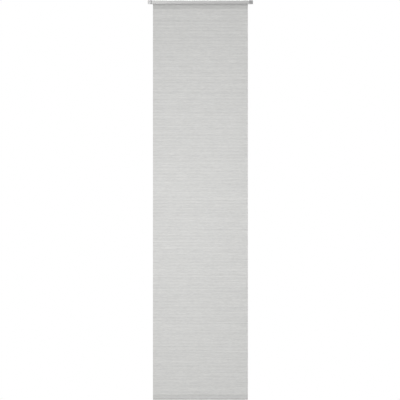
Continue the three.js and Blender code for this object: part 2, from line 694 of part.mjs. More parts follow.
curtain.add(truck("left"), truck("right"));
curtain.add(carrier());
curtain.add(carrierEndCap("carrier_end_cap_right"));
const leftCarrierEnd = carrierEndCap("carrier_end_cap_left");
leftCarrierEnd.position.x *= -1;
leftCarrierEnd.scale.x = -1;
curtain.add(leftCarrierEnd);

curtain.add(tape("hook_tape", CARRIER_LENGTH, HOOK_TAPE_THICKNESS, HOOK_TAPE_MIDDLE));
curtain.add(tape("loop_tape", PANEL_WIDTH - 2 * LOOP_TAPE_INSET, LOOP_TAPE_THICKNESS, LOOP_TAPE_MIDDLE));
curtain.add(clothPanel());
curtain.add(hemContents());

export default curtain;
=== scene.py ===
# %% [markdown]
# # A sliding panel curtain
#
# A flat cloth panel hangs from a short ceiling rail. The rail is an aluminium extrusion with a moulded
# cap at each end. Two small carriages with wheels run inside it and hold a carrier strip, to which the
# cloth clings by a hook-and-loop tape. A bar in the bottom hem keeps the cloth flat.
#
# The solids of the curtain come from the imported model, in metres. This script gives them their looks:
# it weaves the cloth, sews it, turns the wheels, rounds the hard parts' edges, mixes their finishes
# and lights the room.

import json
import math

import bmesh
import bpy
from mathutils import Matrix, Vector

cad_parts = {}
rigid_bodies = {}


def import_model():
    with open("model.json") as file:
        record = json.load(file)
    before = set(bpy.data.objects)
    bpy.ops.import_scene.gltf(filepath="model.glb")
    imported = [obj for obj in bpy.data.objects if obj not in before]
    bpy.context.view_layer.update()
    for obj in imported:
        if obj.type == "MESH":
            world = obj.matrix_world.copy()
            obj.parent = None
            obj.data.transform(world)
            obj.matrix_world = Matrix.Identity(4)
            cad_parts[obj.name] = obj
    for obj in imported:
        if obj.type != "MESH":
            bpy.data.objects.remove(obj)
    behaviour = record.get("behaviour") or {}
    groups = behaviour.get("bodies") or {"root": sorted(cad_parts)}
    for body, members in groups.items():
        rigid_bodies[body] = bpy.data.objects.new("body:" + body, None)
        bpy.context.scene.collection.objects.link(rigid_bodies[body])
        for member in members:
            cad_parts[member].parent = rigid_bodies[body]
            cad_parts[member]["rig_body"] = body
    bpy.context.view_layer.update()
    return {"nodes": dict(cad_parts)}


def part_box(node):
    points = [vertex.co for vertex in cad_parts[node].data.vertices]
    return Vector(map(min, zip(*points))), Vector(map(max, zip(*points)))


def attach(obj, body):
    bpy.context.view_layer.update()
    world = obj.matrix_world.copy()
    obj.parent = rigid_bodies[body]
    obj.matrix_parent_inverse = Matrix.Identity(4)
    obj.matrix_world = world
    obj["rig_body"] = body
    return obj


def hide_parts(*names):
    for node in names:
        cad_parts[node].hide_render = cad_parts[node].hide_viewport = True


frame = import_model()
MM = 0.001


# %% [markdown]
# ## Sizes that the looks share
#
# Whatever touches a solid is measured on that solid, so nothing has to be fitted by eye. Only what the
# solids don't hold is written here: how thick the cloth is, how it is folded, and how it is sewn.

# %% Sizes
cloth_low, cloth_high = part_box("cloth_panel")
bar_low, bar_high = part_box("weight_bar")
rail_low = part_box("rail")[0]
tape_low, tape_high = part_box("loop_tape")

CLOTH_THICKNESS = 0.6 * MM
HEM_HEIGHT = 30 * MM
HEM_TURN_UP = 5 * MM  # how far the cloth goes on above the seam, behind the panel
BAR_GAP = 0.3 * MM  # between the bar and the cloth round it
LAYER_GAP = 0.2 * MM  # between two layers of cloth that are sewn together

panel_width = cloth_high.x - cloth_low.x
bar_radius = (bar_high.y - bar_low.y) / 2
cloth_middle = (bar_high.y + bar_low.y) / 2
cloth_top = cloth_high.z
cloth_foot = bar_low.z - BAR_GAP - CLOTH_THICKNESS
seam_z = cloth_foot + HEM_HEIGHT
print("panel", round(panel_width, 4), "wide,", round(cloth_top - cloth_foot, 4), "long")


# %% [markdown]
# ## Building node trees in words
#
# Shader trees and geometry trees are both made of nodes and links. One helper adds a node, sets its
# values and links its inputs, so that a tree below reads like a recipe.

# %% Node helpers
def fill_inputs(tree, node, inputs):
    """Each input is given a value, or the output socket that feeds it."""
    for key, value in inputs.items():
        if isinstance(value, bpy.types.NodeSocket):
            tree.links.new(value, node.inputs[key])
        else:
            node.inputs[key].default_value = value


def add_node(tree, kind, inputs=None, **settings):
    made = tree.nodes.new(kind)
    for name, value in settings.items():
        setattr(made, name, value)
    fill_inputs(tree, made, inputs or {})
    return made


def add(tree, kind, inputs=None, **settings):
    """Adds a node and returns its first output."""
    return add_node(tree, kind, inputs, **settings).outputs[0]


def maths(tree, operation, *values):
    return add(tree, "ShaderNodeMath", dict(enumerate(values)), operation=operation)


def vector_maths(tree, operation, *values):
    return add(tree, "ShaderNodeVectorMath", dict(enumerate(values)), operation=operation)


def noise(tree, place, detail=2.0, roughness=0.5):
    values = {"Vector": place, "Scale": 1.0, "Detail": detail, "Roughness": roughness}
    return add_node(tree, "ShaderNodeTexNoise", values).outputs["Fac"]


def new_group(name, kind, inputs, outputs):
    """A node group with named sockets: the group, its input node and its output node."""
    group = bpy.data.node_groups.new(name, kind)
    for label, socket_type, value in inputs:
        socket = group.interface.new_socket(label, in_out="INPUT", socket_type=socket_type)
        if value is not None:
            socket.default_value = value
    for label, socket_type in outputs:
        group.interface.new_socket(label, in_out="OUTPUT", socket_type=socket_type)
    return group, group.nodes.new("NodeGroupInput"), group.nodes.new("NodeGroupOutput")


def place_group(tree, group, values):
    made = tree.nodes.new(tree.bl_idname.replace("Tree", "Group"))
    made.node_tree = group
    fill_inputs(tree, made, values)
    return made


FLOAT = "NodeSocketFloat"
VECTOR = "NodeSocketVector"
print("helpers ready")


# %% [markdown]
# ## Effects that several finishes share
#
# Extruded metal carries fine lines along its length, drawn by the die. Moulded plastic has a skin of
# tiny pits and faint clouds. Woven goods have yarns that pass over and under each other, and uneven
# yarns that show as streaks. One noise over the whole cloth would look like clouds from close by, so
# each yarn gets a tone of its own. Each effect is a node group that gives a height for the bump and
# masks between 0 and 1 for colour or roughness, so that each material can place it with its own values.

# %% Die lines of an extrusion
def die_lines_group():
    inputs = [("Line Density", FLOAT, 900.0), ("Run Density", FLOAT, 3.0), ("Cloud Density", FLOAT, 25.0)]
    outputs = [("Height", FLOAT), ("Line", FLOAT), ("Cloud", FLOAT)]
    group, given, result = new_group("die_lines", "ShaderNodeTree", inputs, outputs)
    place = add_node(group, "ShaderNodeTexCoord").outputs["Object"]
    lines = given.outputs["Line Density"]
    stretch = add(group, "ShaderNodeCombineXYZ", {0: given.outputs["Run Density"], 1: lines, 2: lines})
    drawn = noise(group, vector_maths(group, "MULTIPLY", place, stretch), detail=3.0, roughness=0.6)
    clouds = add_node(group, "ShaderNodeVectorMath", {0: place}, operation="SCALE")
    group.links.new(given.outputs["Cloud Density"], clouds.inputs["Scale"])
    cloud = noise(group, clouds.outputs[0], detail=3.0, roughness=0.55)
    fill_inputs(group, result, {"Height": drawn, "Line": drawn, "Cloud": cloud})
    return group


# %% Skin of a moulding
def moulded_skin_group():
    inputs = [("Grain Density", FLOAT, 2500.0), ("Cloud Density", FLOAT, 90.0)]
    outputs = [("Height", FLOAT), ("Cloud", FLOAT)]
    group, given, result = new_group("moulded_skin", "ShaderNodeTree", inputs, outputs)
    place = add_node(group, "ShaderNodeTexCoord").outputs["Object"]
    masks = {}
    for label, density, detail in (("Height", "Grain Density", 2.0), ("Cloud", "Cloud Density", 3.0)):
        scaled = add_node(group, "ShaderNodeVectorMath", {0: place}, operation="SCALE")
        group.links.new(given.outputs[density], scaled.inputs["Scale"])
        masks[label] = noise(group, scaled.outputs[0], detail)
    fill_inputs(group, result, masks)
    return group


# %% Plain weave
# How often a weft yarn changes its tone in a metre, slow to fast, and how much each change counts.
YARN_CHANGES = ((0.8, 0.26), (12.0, 0.34), (45.0, 0.40))
YARN_STEP = 1.37  # how far apart two neighbouring yarns lie in the noise, so that they differ
YARN_DRIFT = (9.0, 240.0, 1.0)  # how often a yarn strays in a metre, across the cloth and along it
LOW_YARN = 0.4  # a yarn's height where it passes under another, as a share of its height where it is over
YARNS_TO_LINE = 9.8  # how many yarns lie between two thick ones, on average
LINE_WANDER = (0.12, 1.2)  # how fast that spacing changes from yarn to yarn, and by how many spacings
LINE_STRENGTH = (1.5, 0.3)  # how fast a line's strength changes, across the cloth and from yarn to yarn
WANDER_LAYER, STRENGTH_LAYER = 8.0, 9.0  # far from the layers of the yarns' tones, so that all differ


def noise_at(tree, x, y, z, detail):
    return noise(tree, add(tree, "ShaderNodeCombineXYZ", {0: x, 1: y, 2: z}), detail)


def yarn_tone(tree, across, row):
    """Each weft yarn keeps to its own line of the noise, so its tone changes only along the yarn."""
    own_line = maths(tree, "MULTIPLY", row, YARN_STEP)
    tone = None
    for i, (density, share) in enumerate(YARN_CHANGES):
        layer = noise_at(tree, maths(tree, "MULTIPLY", across, density), own_line, i, detail=1.0)
        layer = maths(tree, "MULTIPLY", layer, share)
        tone = layer if tone is None else maths(tree, "ADD", tone, layer)
    return tone


def line_tone(tree, across, row):
    """Thick yarns come back at a nearly steady spacing and show as fine level lines."""
    changing = maths(tree, "MULTIPLY", row, LINE_WANDER[0])
    wander = noise_at(tree, 0.0, changing, WANDER_LAYER, detail=1.0)
    spacings = maths(tree, "DIVIDE", row, YARNS_TO_LINE)
    spacings = maths(tree, "MULTIPLY_ADD", wander, LINE_WANDER[1], spacings)
    wave = maths(tree, "SINE", maths(tree, "MULTIPLY", spacings, 2 * math.pi))
    along_yarn = maths(tree, "MULTIPLY", across, LINE_STRENGTH[0])
    from_yarn = maths(tree, "MULTIPLY", row, LINE_STRENGTH[1])
    strength = noise_at(tree, along_yarn, from_yarn, STRENGTH_LAYER, detail=0.0)
    # From a wave between -1 and 1 to a mask between 0 and 1.
    return maths(tree, "MULTIPLY_ADD", maths(tree, "MULTIPLY", wave, strength), 0.5, 0.5)


def plain_weave_group():
    """Weft runs along U and warp along V of the piece's own map, which is in metres."""
    inputs = [
        ("Weft Pitch", FLOAT, 2.0 * MM),
        ("Warp Pitch", FLOAT, 1.4 * MM),
        ("Unevenness", FLOAT, 0.35),
    ]
    outputs = [("Height", FLOAT), ("Yarn", FLOAT), ("Line", FLOAT)]
    group, given, result = new_group("plain_weave", "ShaderNodeTree", inputs, outputs)
    place = add(group, "ShaderNodeUVMap", uv_map="Weave")
    apart = add_node(group, "ShaderNodeSeparateXYZ", {0: place})
    across, along = apart.outputs[0], apart.outputs[1]
    drift = noise(group, vector_maths(group, "MULTIPLY", place, YARN_DRIFT), detail=1.0)
    drift = maths(group, "MULTIPLY", maths(group, "SUBTRACT", drift, 0.5), given.outputs["Unevenness"])
    weft_turn = maths(group, "ADD", maths(group, "DIVIDE", along, given.outputs["Weft Pitch"]), drift)
    warp_turn = maths(group, "ADD", maths(group, "DIVIDE", across, given.outputs["Warp Pitch"]), drift)

    def yarn(turn):
        return maths(group, "ABSOLUTE", maths(group, "SINE", maths(group, "MULTIPLY", turn, math.pi)))

    rows = maths(group, "FLOOR", weft_turn)
    columns = maths(group, "FLOOR", warp_turn)
    over = maths(group, "PINGPONG", maths(group, "ADD", rows, columns), 1.0)
    weft_rise = maths(group, "MULTIPLY_ADD", over, 1 - LOW_YARN, LOW_YARN)
    warp_rise = maths(group, "MULTIPLY_ADD", over, LOW_YARN - 1, 1.0)
    weft_up = maths(group, "MULTIPLY", yarn(weft_turn), weft_rise)
    warp_up = maths(group, "MULTIPLY", yarn(warp_turn), warp_rise)
    height = maths(group, "MAXIMUM", weft_up, warp_up)
    tones = {"Yarn": yarn_tone(group, across, rows), "Line": line_tone(group, across, rows)}
    fill_inputs(group, result, {"Height": height, **tones})
    return group


die_lines = die_lines_group()
moulded_skin = moulded_skin_group()
plain_weave = plain_weave_group()
print("shared effects:", die_lines.name, moulded_skin.name, plain_weave.name)


# %% [markdown]
# ## Finishes of the hard parts
#
# The rail is satin anodised, the carrier and the bar are left as they came from the press, and the
# small parts are moulded. A single flat value would look like plastic film, so each finish varies a
# little over the surface, in colour, in roughness and in height, as the real one does.

# %% Metal and plastic
NOISE_LOW, NOISE_HIGH = 0.3, 0.7  # nearly all of a noise's values lie between these
METAL_DARKEST = 0.92  # the darkest die line, as a share of the base colour
METAL_ROUGHNESS = (-0.05, 0.07)  # how far the roughness strays from its middle value
MOULDING_DARKEST = 0.95
MOULDING_ROUGHNESS = (-0.04, 0.06)
LINE_CONTRAST, LINE_LIFT = 0.6, 0.2  # draw the die lines' noise towards its middle, so that most stay faint


def new_material(name, base, roughness, metallic=0.0):
    material = bpy.data.materials.new(name)
    material.use_nodes = True
    tree = material.node_tree
    shader = tree.nodes["Principled BSDF"]
    shader.inputs["Base Color"].default_value = (*base, 1.0)
    shader.inputs["Roughness"].default_value = roughness
    shader.inputs["Metallic"].default_value = metallic
    return material, tree, shader


def between(tree, mask, low, high, start=NOISE_LOW, end=NOISE_HIGH):
    """A value that goes from low to high as the mask goes from start to end."""
    values = {"Value": mask, "From Min": start, "From Max": end, "To Min": low, "To Max": high}
    return add(tree, "ShaderNodeMapRange", values)


def colour_between(tree, mask, low, high):
    mixed = add_node(tree, "ShaderNodeMix", data_type="RGBA")
    tree.links.new(mask, mixed.inputs["Factor"])
    for label, colour in (("A", low), ("B", high)):
        socket = next(s for s in mixed.inputs if s.name == label and s.type == "RGBA")
        socket.default_value = (*colour, 1.0)
    return next(s for s in mixed.outputs if s.type == "RGBA")


def add_bump(tree, shader, height, depth):
    bump = add(tree, "ShaderNodeBump", {"Height": height, "Strength": 1.0, "Distance": depth})
    tree.links.new(bump, shader.inputs["Normal"])


def vary(tree, shader, base, darkest, tone, roughness, spread, cloud):
    """The base colour gets darker where the tone is low, and the roughness follows the clouds."""
    darker = tuple(darkest * c for c in base)
    tree.links.new(colour_between(tree, tone, darker, base), shader.inputs["Base Color"])
    rough = between(tree, cloud, roughness + spread[0], roughness + spread[1])
    tree.links.new(rough, shader.inputs["Roughness"])


def extruded_metal(name, base, roughness, line_depth):
    material, tree, shader = new_material(name, base, roughness, metallic=1.0)
    lines = place_group(tree, die_lines, {})
    faint = maths(tree, "MULTIPLY_ADD", lines.outputs["Line"], LINE_CONTRAST, LINE_LIFT)
    tone = between(tree, faint, 0.0, 1.0)
    cloud = lines.outputs["Cloud"]
    vary(tree, shader, base, METAL_DARKEST, tone, roughness, METAL_ROUGHNESS, cloud)
    add_bump(tree, shader, lines.outputs["Height"], line_depth)
    return material


def moulded(name, base, roughness, grain_depth, metallic=0.0):
    material, tree, shader = new_material(name, base, roughness, metallic)
    skin = place_group(tree, moulded_skin, {})
    cloud = skin.outputs["Cloud"]
    tone = between(tree, cloud, 0.0, 1.0)
    vary(tree, shader, base, MOULDING_DARKEST, tone, roughness, MOULDING_ROUGHNESS, cloud)
    add_bump(tree, shader, skin.outputs["Height"], grain_depth)
    return material


satin_rail = extruded_metal(
    "satin_anodised_rail", base=(0.47, 0.47, 0.465), roughness=0.38, line_depth=0.01 * MM
)
mill_metal = extruded_metal(
    "mill_finish_aluminium", base=(0.6, 0.6, 0.595), roughness=0.42, line_depth=0.02 * MM
)
silver_cap = moulded(
    "silver_moulded_cap", base=(0.34, 0.34, 0.34), roughness=0.25, grain_depth=0.006 * MM, metallic=0.7
)
grey_moulding = moulded("grey_moulding", base=(0.5, 0.5, 0.5), roughness=0.5, grain_depth=0.02 * MM)
white_acetal = moulded("white_acetal", base=(0.78, 0.78, 0.76), roughness=0.42, grain_depth=0.01 * MM)
nylon_wheel = moulded("nylon_wheel", base=(0.8, 0.8, 0.77), roughness=0.48, grain_depth=0.01 * MM)
zinc_pin = moulded(
    "zinc_plated_pin", base=(0.62, 0.63, 0.65), roughness=0.28, grain_depth=0.005 * MM, metallic=1.0
)
print("hard finishes:", len(bpy.data.materials))


# %% [markdown]
# ## The cloth's finish
#
# The cloth is an off-white plain weave with uneven weft yarns, which show as faint level streaks. It
# lets some light through, so a doubled layer, or one with the carrier behind it, looks a little
# darker. A mix of an opaque and a translucent shader does that, where plain grey would look dead.

# %% Woven finishes
CLOTH_ROUGHNESS = 0.9
CLOTH_GLOSS = 0.2
CLOTH_SHEEN = 0.05
YARN_NOISE = (0.34, 0.66)  # the part of the yarns' noise that is drawn out to their whole range of tone
YARN_RANGE = (0.13, 0.87)  # that range, where 0 is the dark colour and 1 the light one
LINE_SHARE = 0.14  # how far the thick yarns' lines take the tone up and down from there


def woven(name, light, dark, see_through, weave_values, depth):
    material, tree, shader = new_material(name, light, CLOTH_ROUGHNESS)
    shader.inputs["Specular IOR Level"].default_value = CLOTH_GLOSS
    shader.inputs["Sheen Weight"].default_value = CLOTH_SHEEN
    weave = place_group(tree, plain_weave, weave_values)
    yarn = between(tree, weave.outputs["Yarn"], *YARN_RANGE, *YARN_NOISE)
    line = between(tree, weave.outputs["Line"], -LINE_SHARE, LINE_SHARE, 0.0, 1.0)
    colour = colour_between(tree, maths(tree, "ADD", yarn, line), dark, light)
    tree.links.new(colour, shader.inputs["Base Color"])
    add_bump(tree, shader, weave.outputs["Height"], depth)
    if see_through:
        glow = add(tree, "ShaderNodeBsdfTranslucent", {"Color": colour})
        mixed = add(tree, "ShaderNodeMixShader", {0: see_through, 1: shader.outputs[0], 2: glow})
        tree.links.new(mixed, tree.nodes["Material Output"].inputs["Surface"])
    return material


PANEL_YARNS = {"Weft Pitch": 2.1 * MM, "Warp Pitch": 1.4 * MM}
TAPE_YARNS = {"Weft Pitch": 0.9 * MM, "Warp Pitch": 0.9 * MM}
panel_weave = woven(
    "slub_panel_weave",
    light=(0.82, 0.82, 0.81),
    dark=(0.61, 0.61, 0.605),
    see_through=0.4,
    weave_values=PANEL_YARNS,
    depth=0.12 * MM,
)
tape_weave = woven(
    "tape_weave",
    light=(0.8, 0.8, 0.78),
    dark=(0.7, 0.7, 0.69),
    see_through=0.0,
    weave_values=TAPE_YARNS,
    depth=0.08 * MM,
)
thread_finish = moulded(
    "polyester_thread", base=(0.68, 0.68, 0.67), roughness=0.6, grain_depth=0.01 * MM
)
nylon_pile = moulded("nylon_pile", base=(0.78, 0.78, 0.76), roughness=0.5, grain_depth=0.01 * MM)
print("woven finishes:", panel_weave.name, tape_weave.name, thread_finish.name, nylon_pile.name)


# %% [markdown]
# ## Weaving a strip along a path
#
# A cloth is a thin sheet that follows a path in section, so it could be an extruded outline. But then
# every yarn would have the same height from edge to edge. A grid with a row for each thick yarn, laid
# along the path by Geometry Nodes, can swell each yarn by itself: by a noise that is long across the
# cloth and short along it. The grid is thickened to a closed sheet before it is laid. The same tree
# weaves the panel and the two tapes.

# %% The weaving tree
WEAVE_INPUTS = [
    ("Path", "NodeSocketGeometry", None),
    ("Width", FLOAT, 0.6),
    ("Length", FLOAT, 2.5),
    ("Rows", "NodeSocketInt", 1200),
    ("Columns", "NodeSocketInt", 40),
    ("Thickness", FLOAT, CLOTH_THICKNESS),
    ("Slub Height", FLOAT, 0.25 * MM),
    ("Back From", FLOAT, 0.0),
    ("Back To", FLOAT, 10.0),
    ("Seed", FLOAT, 4.0),
    ("Finish", "NodeSocketMaterial", None),
]
LIFT = 1.0 * MM  # how thick the flat grid is before it is laid
MERGE_SHARE = 0.1  # points nearer than this share of it become one, which joins the layers at the edge
SLUB_DENSITY = (7.0, 190.0)  # how often a yarn's thickness changes in a metre, across and along the cloth
SLUB_NOISE = (0.45, 0.75)  # only the upper part of the noise swells a yarn, so most yarns stay thin


def closed_grid(tree, given):
    """A grid and its raised copy, joined round the edges."""
    size = {
        "Size X": given.outputs["Width"],
        "Size Y": given.outputs["Length"],
        "Vertices X": given.outputs["Columns"],
        "Vertices Y": given.outputs["Rows"],
    }
    grid = add(tree, "GeometryNodeMeshGrid", size)
    up = add(tree, "ShaderNodeCombineXYZ", {2: LIFT})
    raised = add(tree, "GeometryNodeExtrudeMesh", {"Mesh": grid, "Offset": up, "Individual": False})
    both = add_node(tree, "GeometryNodeJoinGeometry")
    tree.links.new(raised, both.inputs[0])
    tree.links.new(add(tree, "GeometryNodeFlipFaces", {"Mesh": grid}), both.inputs[0])
    near = {"Geometry": both.outputs[0], "Distance": MERGE_SHARE * LIFT}
    return add(tree, "GeometryNodeMergeByDistance", near)


def yarn_swell(tree, given, across, along):
    stretched = {
        0: maths(tree, "MULTIPLY", across, SLUB_DENSITY[0]),
        1: maths(tree, "MULTIPLY", along, SLUB_DENSITY[1]),
        2: given.outputs["Seed"],
    }
    swell = noise(tree, add(tree, "ShaderNodeCombineXYZ", stretched), detail=2.0, roughness=0.6)
    swell = between(tree, swell, 0.0, 1.0, *SLUB_NOISE)
    return maths(tree, "MULTIPLY", swell, given.outputs["Slub Height"])


def dress(tree, geometry, given, result):
    """The end that every tree has: a plain smooth mesh with its finish."""
    real = add(tree, "GeometryNodeRealizeInstances", {"Geometry": geometry})
    smooth = add(tree, "GeometryNodeSetShadeSmooth", {"Geometry": real})
    finish = {"Geometry": smooth, "Material": given.outputs["Finish"]}
    tree.links.new(add(tree, "GeometryNodeSetMaterial", finish), result.inputs[0])


def weaving_tree():
    outputs = [("Cloth", "NodeSocketGeometry")]
    tree, given, result = new_group("weave_along_path", "GeometryNodeTree", WEAVE_INPUTS, outputs)
    sheet = closed_grid(tree, given)
    apart = add_node(tree, "ShaderNodeSeparateXYZ", {0: add(tree, "GeometryNodeInputPosition")})
    across = apart.outputs[0]
    along = maths(tree, "MULTIPLY_ADD", given.outputs["Length"], 0.5, apart.outputs[1])
    layer = maths(tree, "DIVIDE", apart.outputs[2], LIFT)
    face = maths(tree, "MULTIPLY_ADD", layer, 2.0, -1.0)

    swell = yarn_swell(tree, given, across, along)
    after = maths(tree, "GREATER_THAN", along, given.outputs["Back From"])
    before = maths(tree, "LESS_THAN", along, given.outputs["Back To"])
    open_back = maths(tree, "MULTIPLY", after, before)
    is_front = maths(tree, "LESS_THAN", layer, 0.5)
    swell = maths(tree, "MULTIPLY", swell, maths(tree, "MAXIMUM", open_back, is_front))
    half = maths(tree, "MULTIPLY", given.outputs["Thickness"], 0.5)
    offset = maths(tree, "MULTIPLY", face, maths(tree, "ADD", half, swell))

    sample = {"Curves": given.outputs["Path"], "Length": along}
    on_path = add_node(tree, "GeometryNodeSampleCurve", sample, mode="LENGTH")
    inward = vector_maths(tree, "CROSS_PRODUCT", (1.0, 0.0, 0.0), on_path.outputs["Tangent"])
    shift = add_node(tree, "ShaderNodeVectorMath", {0: inward, "Scale": offset}, operation="SCALE")
    sideways = add(tree, "ShaderNodeCombineXYZ", {0: across})
    target = vector_maths(tree, "ADD", on_path.outputs["Position"], sideways)
    target = vector_maths(tree, "ADD", target, shift.outputs[0])

    flat_place = add(tree, "ShaderNodeCombineXYZ", {0: across, 1: along})
    stored = {"Geometry": sheet, "Name": "Weave", "Value": flat_place}
    mapped = add(tree, "GeometryNodeStoreNamedAttribute", stored, data_type="FLOAT2", domain="CORNER")
    laid = add(tree, "GeometryNodeSetPosition", {"Geometry": mapped, "Position": target})
    dress(tree, laid, given, result)
    return tree


# %% Paths, and running a tree on one
def poly_curve(name, lines):
    """A curve object with one straight-sided spline for each list of points."""
    data = bpy.data.curves.new(name, "CURVE")
    data.dimensions = "3D"
    for line in lines:
        spline = data.splines.new("POLY")
        spline.points.add(len(line) - 1)
        for target, point in zip(spline.points, line):
            target.co = (*point, 1.0)
    made = bpy.data.objects.new(name, data)
    bpy.context.scene.collection.objects.link(made)
    return made


CREASE_ANGLE = 50  # edges that bend more than this many degrees stay sharp


def grown(name, source, tree, values):
    """Runs a geometry tree on a source object and returns the result as a plain mesh object."""
    modifier = source.modifiers.new("grow", "NODES")
    modifier.node_group = tree
    named = {item.name: item.identifier for item in tree.interface.items_tree if item.in_out == "INPUT"}
    for label, value in values.items():
        modifier[named[label]] = value
    source.data.update_tag()
    bpy.context.view_layer.update()
    evaluated = source.evaluated_get(bpy.context.evaluated_depsgraph_get())
    mesh = bpy.data.meshes.new_from_object(evaluated)
    source.modifiers.remove(modifier)
    bpy.data.objects.remove(source)
    made = bpy.data.objects.new(name, mesh)
    bpy.context.scene.collection.objects.link(made)
    mesh.set_sharp_from_angle(angle=math.radians(CREASE_ANGLE))
    triangles = sum(len(p.vertices) - 2 for p in mesh.polygons)
    print(name, len(mesh.vertices), "vertices,", triangles, "triangles")
    return made


def line_length(line):
    return sum(math.dist(a, b) for a, b in zip(line, line[1:]))


weave_along_path = weaving_tree()
print("tree:", weave_along_path.name)


# %% [markdown]
# ## The panel
#
# In section, the cloth goes straight down to the seam, round the front of the bar, under it, up its
# back to the seam again, and a few millimetres further up behind the panel, where it is sewn flat. A
# cloth simulation would come to the same line, because the bar pulls the panel straight. So the line
# is worked out from the bar's box, and the tree lays the cloth on it.

# %% The cloth's path
LOOP_STEPS = 24


def cloth_path():
    loop_radius = bar_radius + BAR_GAP + CLOTH_THICKNESS / 2
    low = bar_low.z + bar_radius
    high = bar_high.z - bar_radius
    behind = CLOTH_THICKNESS + LAYER_GAP
    line = [(0.0, cloth_top), (0.0, seam_z), (-loop_radius, high)]
    for i in range(LOOP_STEPS + 1):
        turn = math.pi + math.pi * i / LOOP_STEPS
        line.append((loop_radius * math.cos(turn), low + loop_radius * math.sin(turn)))
    line += [(loop_radius, high), (behind, seam_z), (behind, seam_z + HEM_TURN_UP)]
    return [(0.0, y + cloth_middle, z) for y, z in line]


panel_path = cloth_path()
cut_length = line_length(panel_path)
print("the cloth is cut", round(cut_length, 4), "long for a drop of", round(cloth_top - cloth_foot, 4))

# %% Weaving the panel
ROW_PITCH = 2.15 * MM
COLUMN_PITCH = 15 * MM
TAPE_MARGIN = 2 * MM  # the cloth's back stays smooth this far below the tape
panel = grown(
    "slub_cloth_panel",
    poly_curve("cloth_path", [panel_path]),
    weave_along_path,
    {
        "Width": panel_width,
        "Length": cut_length,
        "Rows": round(cut_length / ROW_PITCH),
        "Columns": round(panel_width / COLUMN_PITCH),
        "Back From": cloth_top - tape_low.z + TAPE_MARGIN,
        "Back To": cloth_top - seam_z - HEM_TURN_UP,
        "Finish": panel_weave,
    },
)


# %% [markdown]
# ## Stitches
#
# The hem is closed by one line of lockstitch, and the loop tape is held by two. A stitch is a short
# thread that rises from the cloth, lies on it and dives back. Modelling one and repeating it along
# each line keeps them all alike, and a little random turn keeps them from looking printed.

# %% The stitching tree
STITCH_INPUTS = [
    ("Lines", "NodeSocketGeometry", None),
    ("Pitch", FLOAT, 3.0 * MM),
    ("Stitch", FLOAT, 2.5 * MM),
    ("Thread Radius", FLOAT, 0.14 * MM),
    ("Rise", FLOAT, 0.45 * MM),
    ("Dive", FLOAT, 0.25 * MM),
    ("Finish", "NodeSocketMaterial", None),
]
THREAD_STEPS = 4
STITCH_SIDES = 6
STITCH_WOBBLE = (0.04, 0.06, 0.02)  # the largest random turn about each axis, in radians
STITCH_SEED = 11


def stitching_tree():
    outputs = [("Stitches", "NodeSocketGeometry")]
    tree, given, result = new_group("stitches_on_lines", "GeometryNodeTree", STITCH_INPUTS, outputs)
    half = maths(tree, "MULTIPLY", given.outputs["Stitch"], 0.5)
    back = maths(tree, "MULTIPLY", half, -1.0)
    rise = maths(tree, "MULTIPLY", given.outputs["Rise"], -1.0)
    bend = {
        "Resolution": THREAD_STEPS,
        "Start": add(tree, "ShaderNodeCombineXYZ", {0: back, 1: given.outputs["Dive"]}),
        "Middle": add(tree, "ShaderNodeCombineXYZ", {1: rise}),
        "End": add(tree, "ShaderNodeCombineXYZ", {0: half, 1: given.outputs["Dive"]}),
    }
    thread = add(tree, "GeometryNodeCurveQuadraticBezier", bend)
    ring = {"Resolution": STITCH_SIDES, "Radius": given.outputs["Thread Radius"]}
    round_section = add(tree, "GeometryNodeCurvePrimitiveCircle", ring)
    tube = {"Curve": thread, "Profile Curve": round_section, "Fill Caps": True}
    stitch = add(tree, "GeometryNodeCurveToMesh", tube)
    steps = {"Curve": given.outputs["Lines"], "Length": given.outputs["Pitch"]}
    holes = add_node(tree, "GeometryNodeCurveToPoints", steps, mode="LENGTH")
    facing = {"Vector": holes.outputs["Tangent"]}
    turned = add(tree, "FunctionNodeAlignRotationToVector", facing, axis="X", pivot_axis="Z")
    other_way = tuple(-turn for turn in STITCH_WOBBLE)
    wobble = {"Min": other_way, "Max": STITCH_WOBBLE, "Seed": STITCH_SEED}
    wobble = add(tree, "FunctionNodeRandomValue", wobble, data_type="FLOAT_VECTOR")
    spread = {
        "Points": holes.outputs["Points"],
        "Instance": stitch,
        "Rotation": add(tree, "FunctionNodeRotateRotation", {"Rotation": turned, "Rotate By": wobble}),
    }
    dress(tree, add(tree, "GeometryNodeInstanceOnPoints", spread), given, result)
    return tree


stitches_on_lines = stitching_tree()
print("tree:", stitches_on_lines.name)

# %% Sewing the hem and the tape
SEAM_INSET = 2 * MM
cloth_front = cloth_middle - CLOTH_THICKNESS / 2
turn_up_back = cloth_middle + CLOTH_THICKNESS / 2 + CLOTH_THICKNESS + LAYER_GAP
hem_stitch_z = seam_z + HEM_TURN_UP / 2
sew_from, sew_to = cloth_low.x + SEAM_INSET, cloth_high.x - SEAM_INSET


def seam(y, z, from_x, to_x):
    return [(from_x, y, z), (to_x, y, z)]


def sewn(name, seams):
    return grown(name, poly_curve(f"{name}_path", seams), stitches_on_lines, {"Finish": thread_finish})


hem_seams = [
    seam(cloth_front, hem_stitch_z, sew_from, sew_to),
    seam(turn_up_back, hem_stitch_z, sew_to, sew_from),
]
tape_seams = [
    seam(cloth_front, z, sew_from, sew_to)
    for z in (tape_high.z - SEAM_INSET, tape_low.z + SEAM_INSET)
]
hem_stitches = sewn("hem_stitches", hem_seams)
tape_stitches = sewn("tape_stitches", tape_seams)

# %% Declaring the panel
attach(panel, "panel")
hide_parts("cloth_panel")
for stitches in (hem_stitches, tape_stitches):
    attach(stitches, "panel")
print("panel declared,", round(cut_length, 3), "m of cloth")


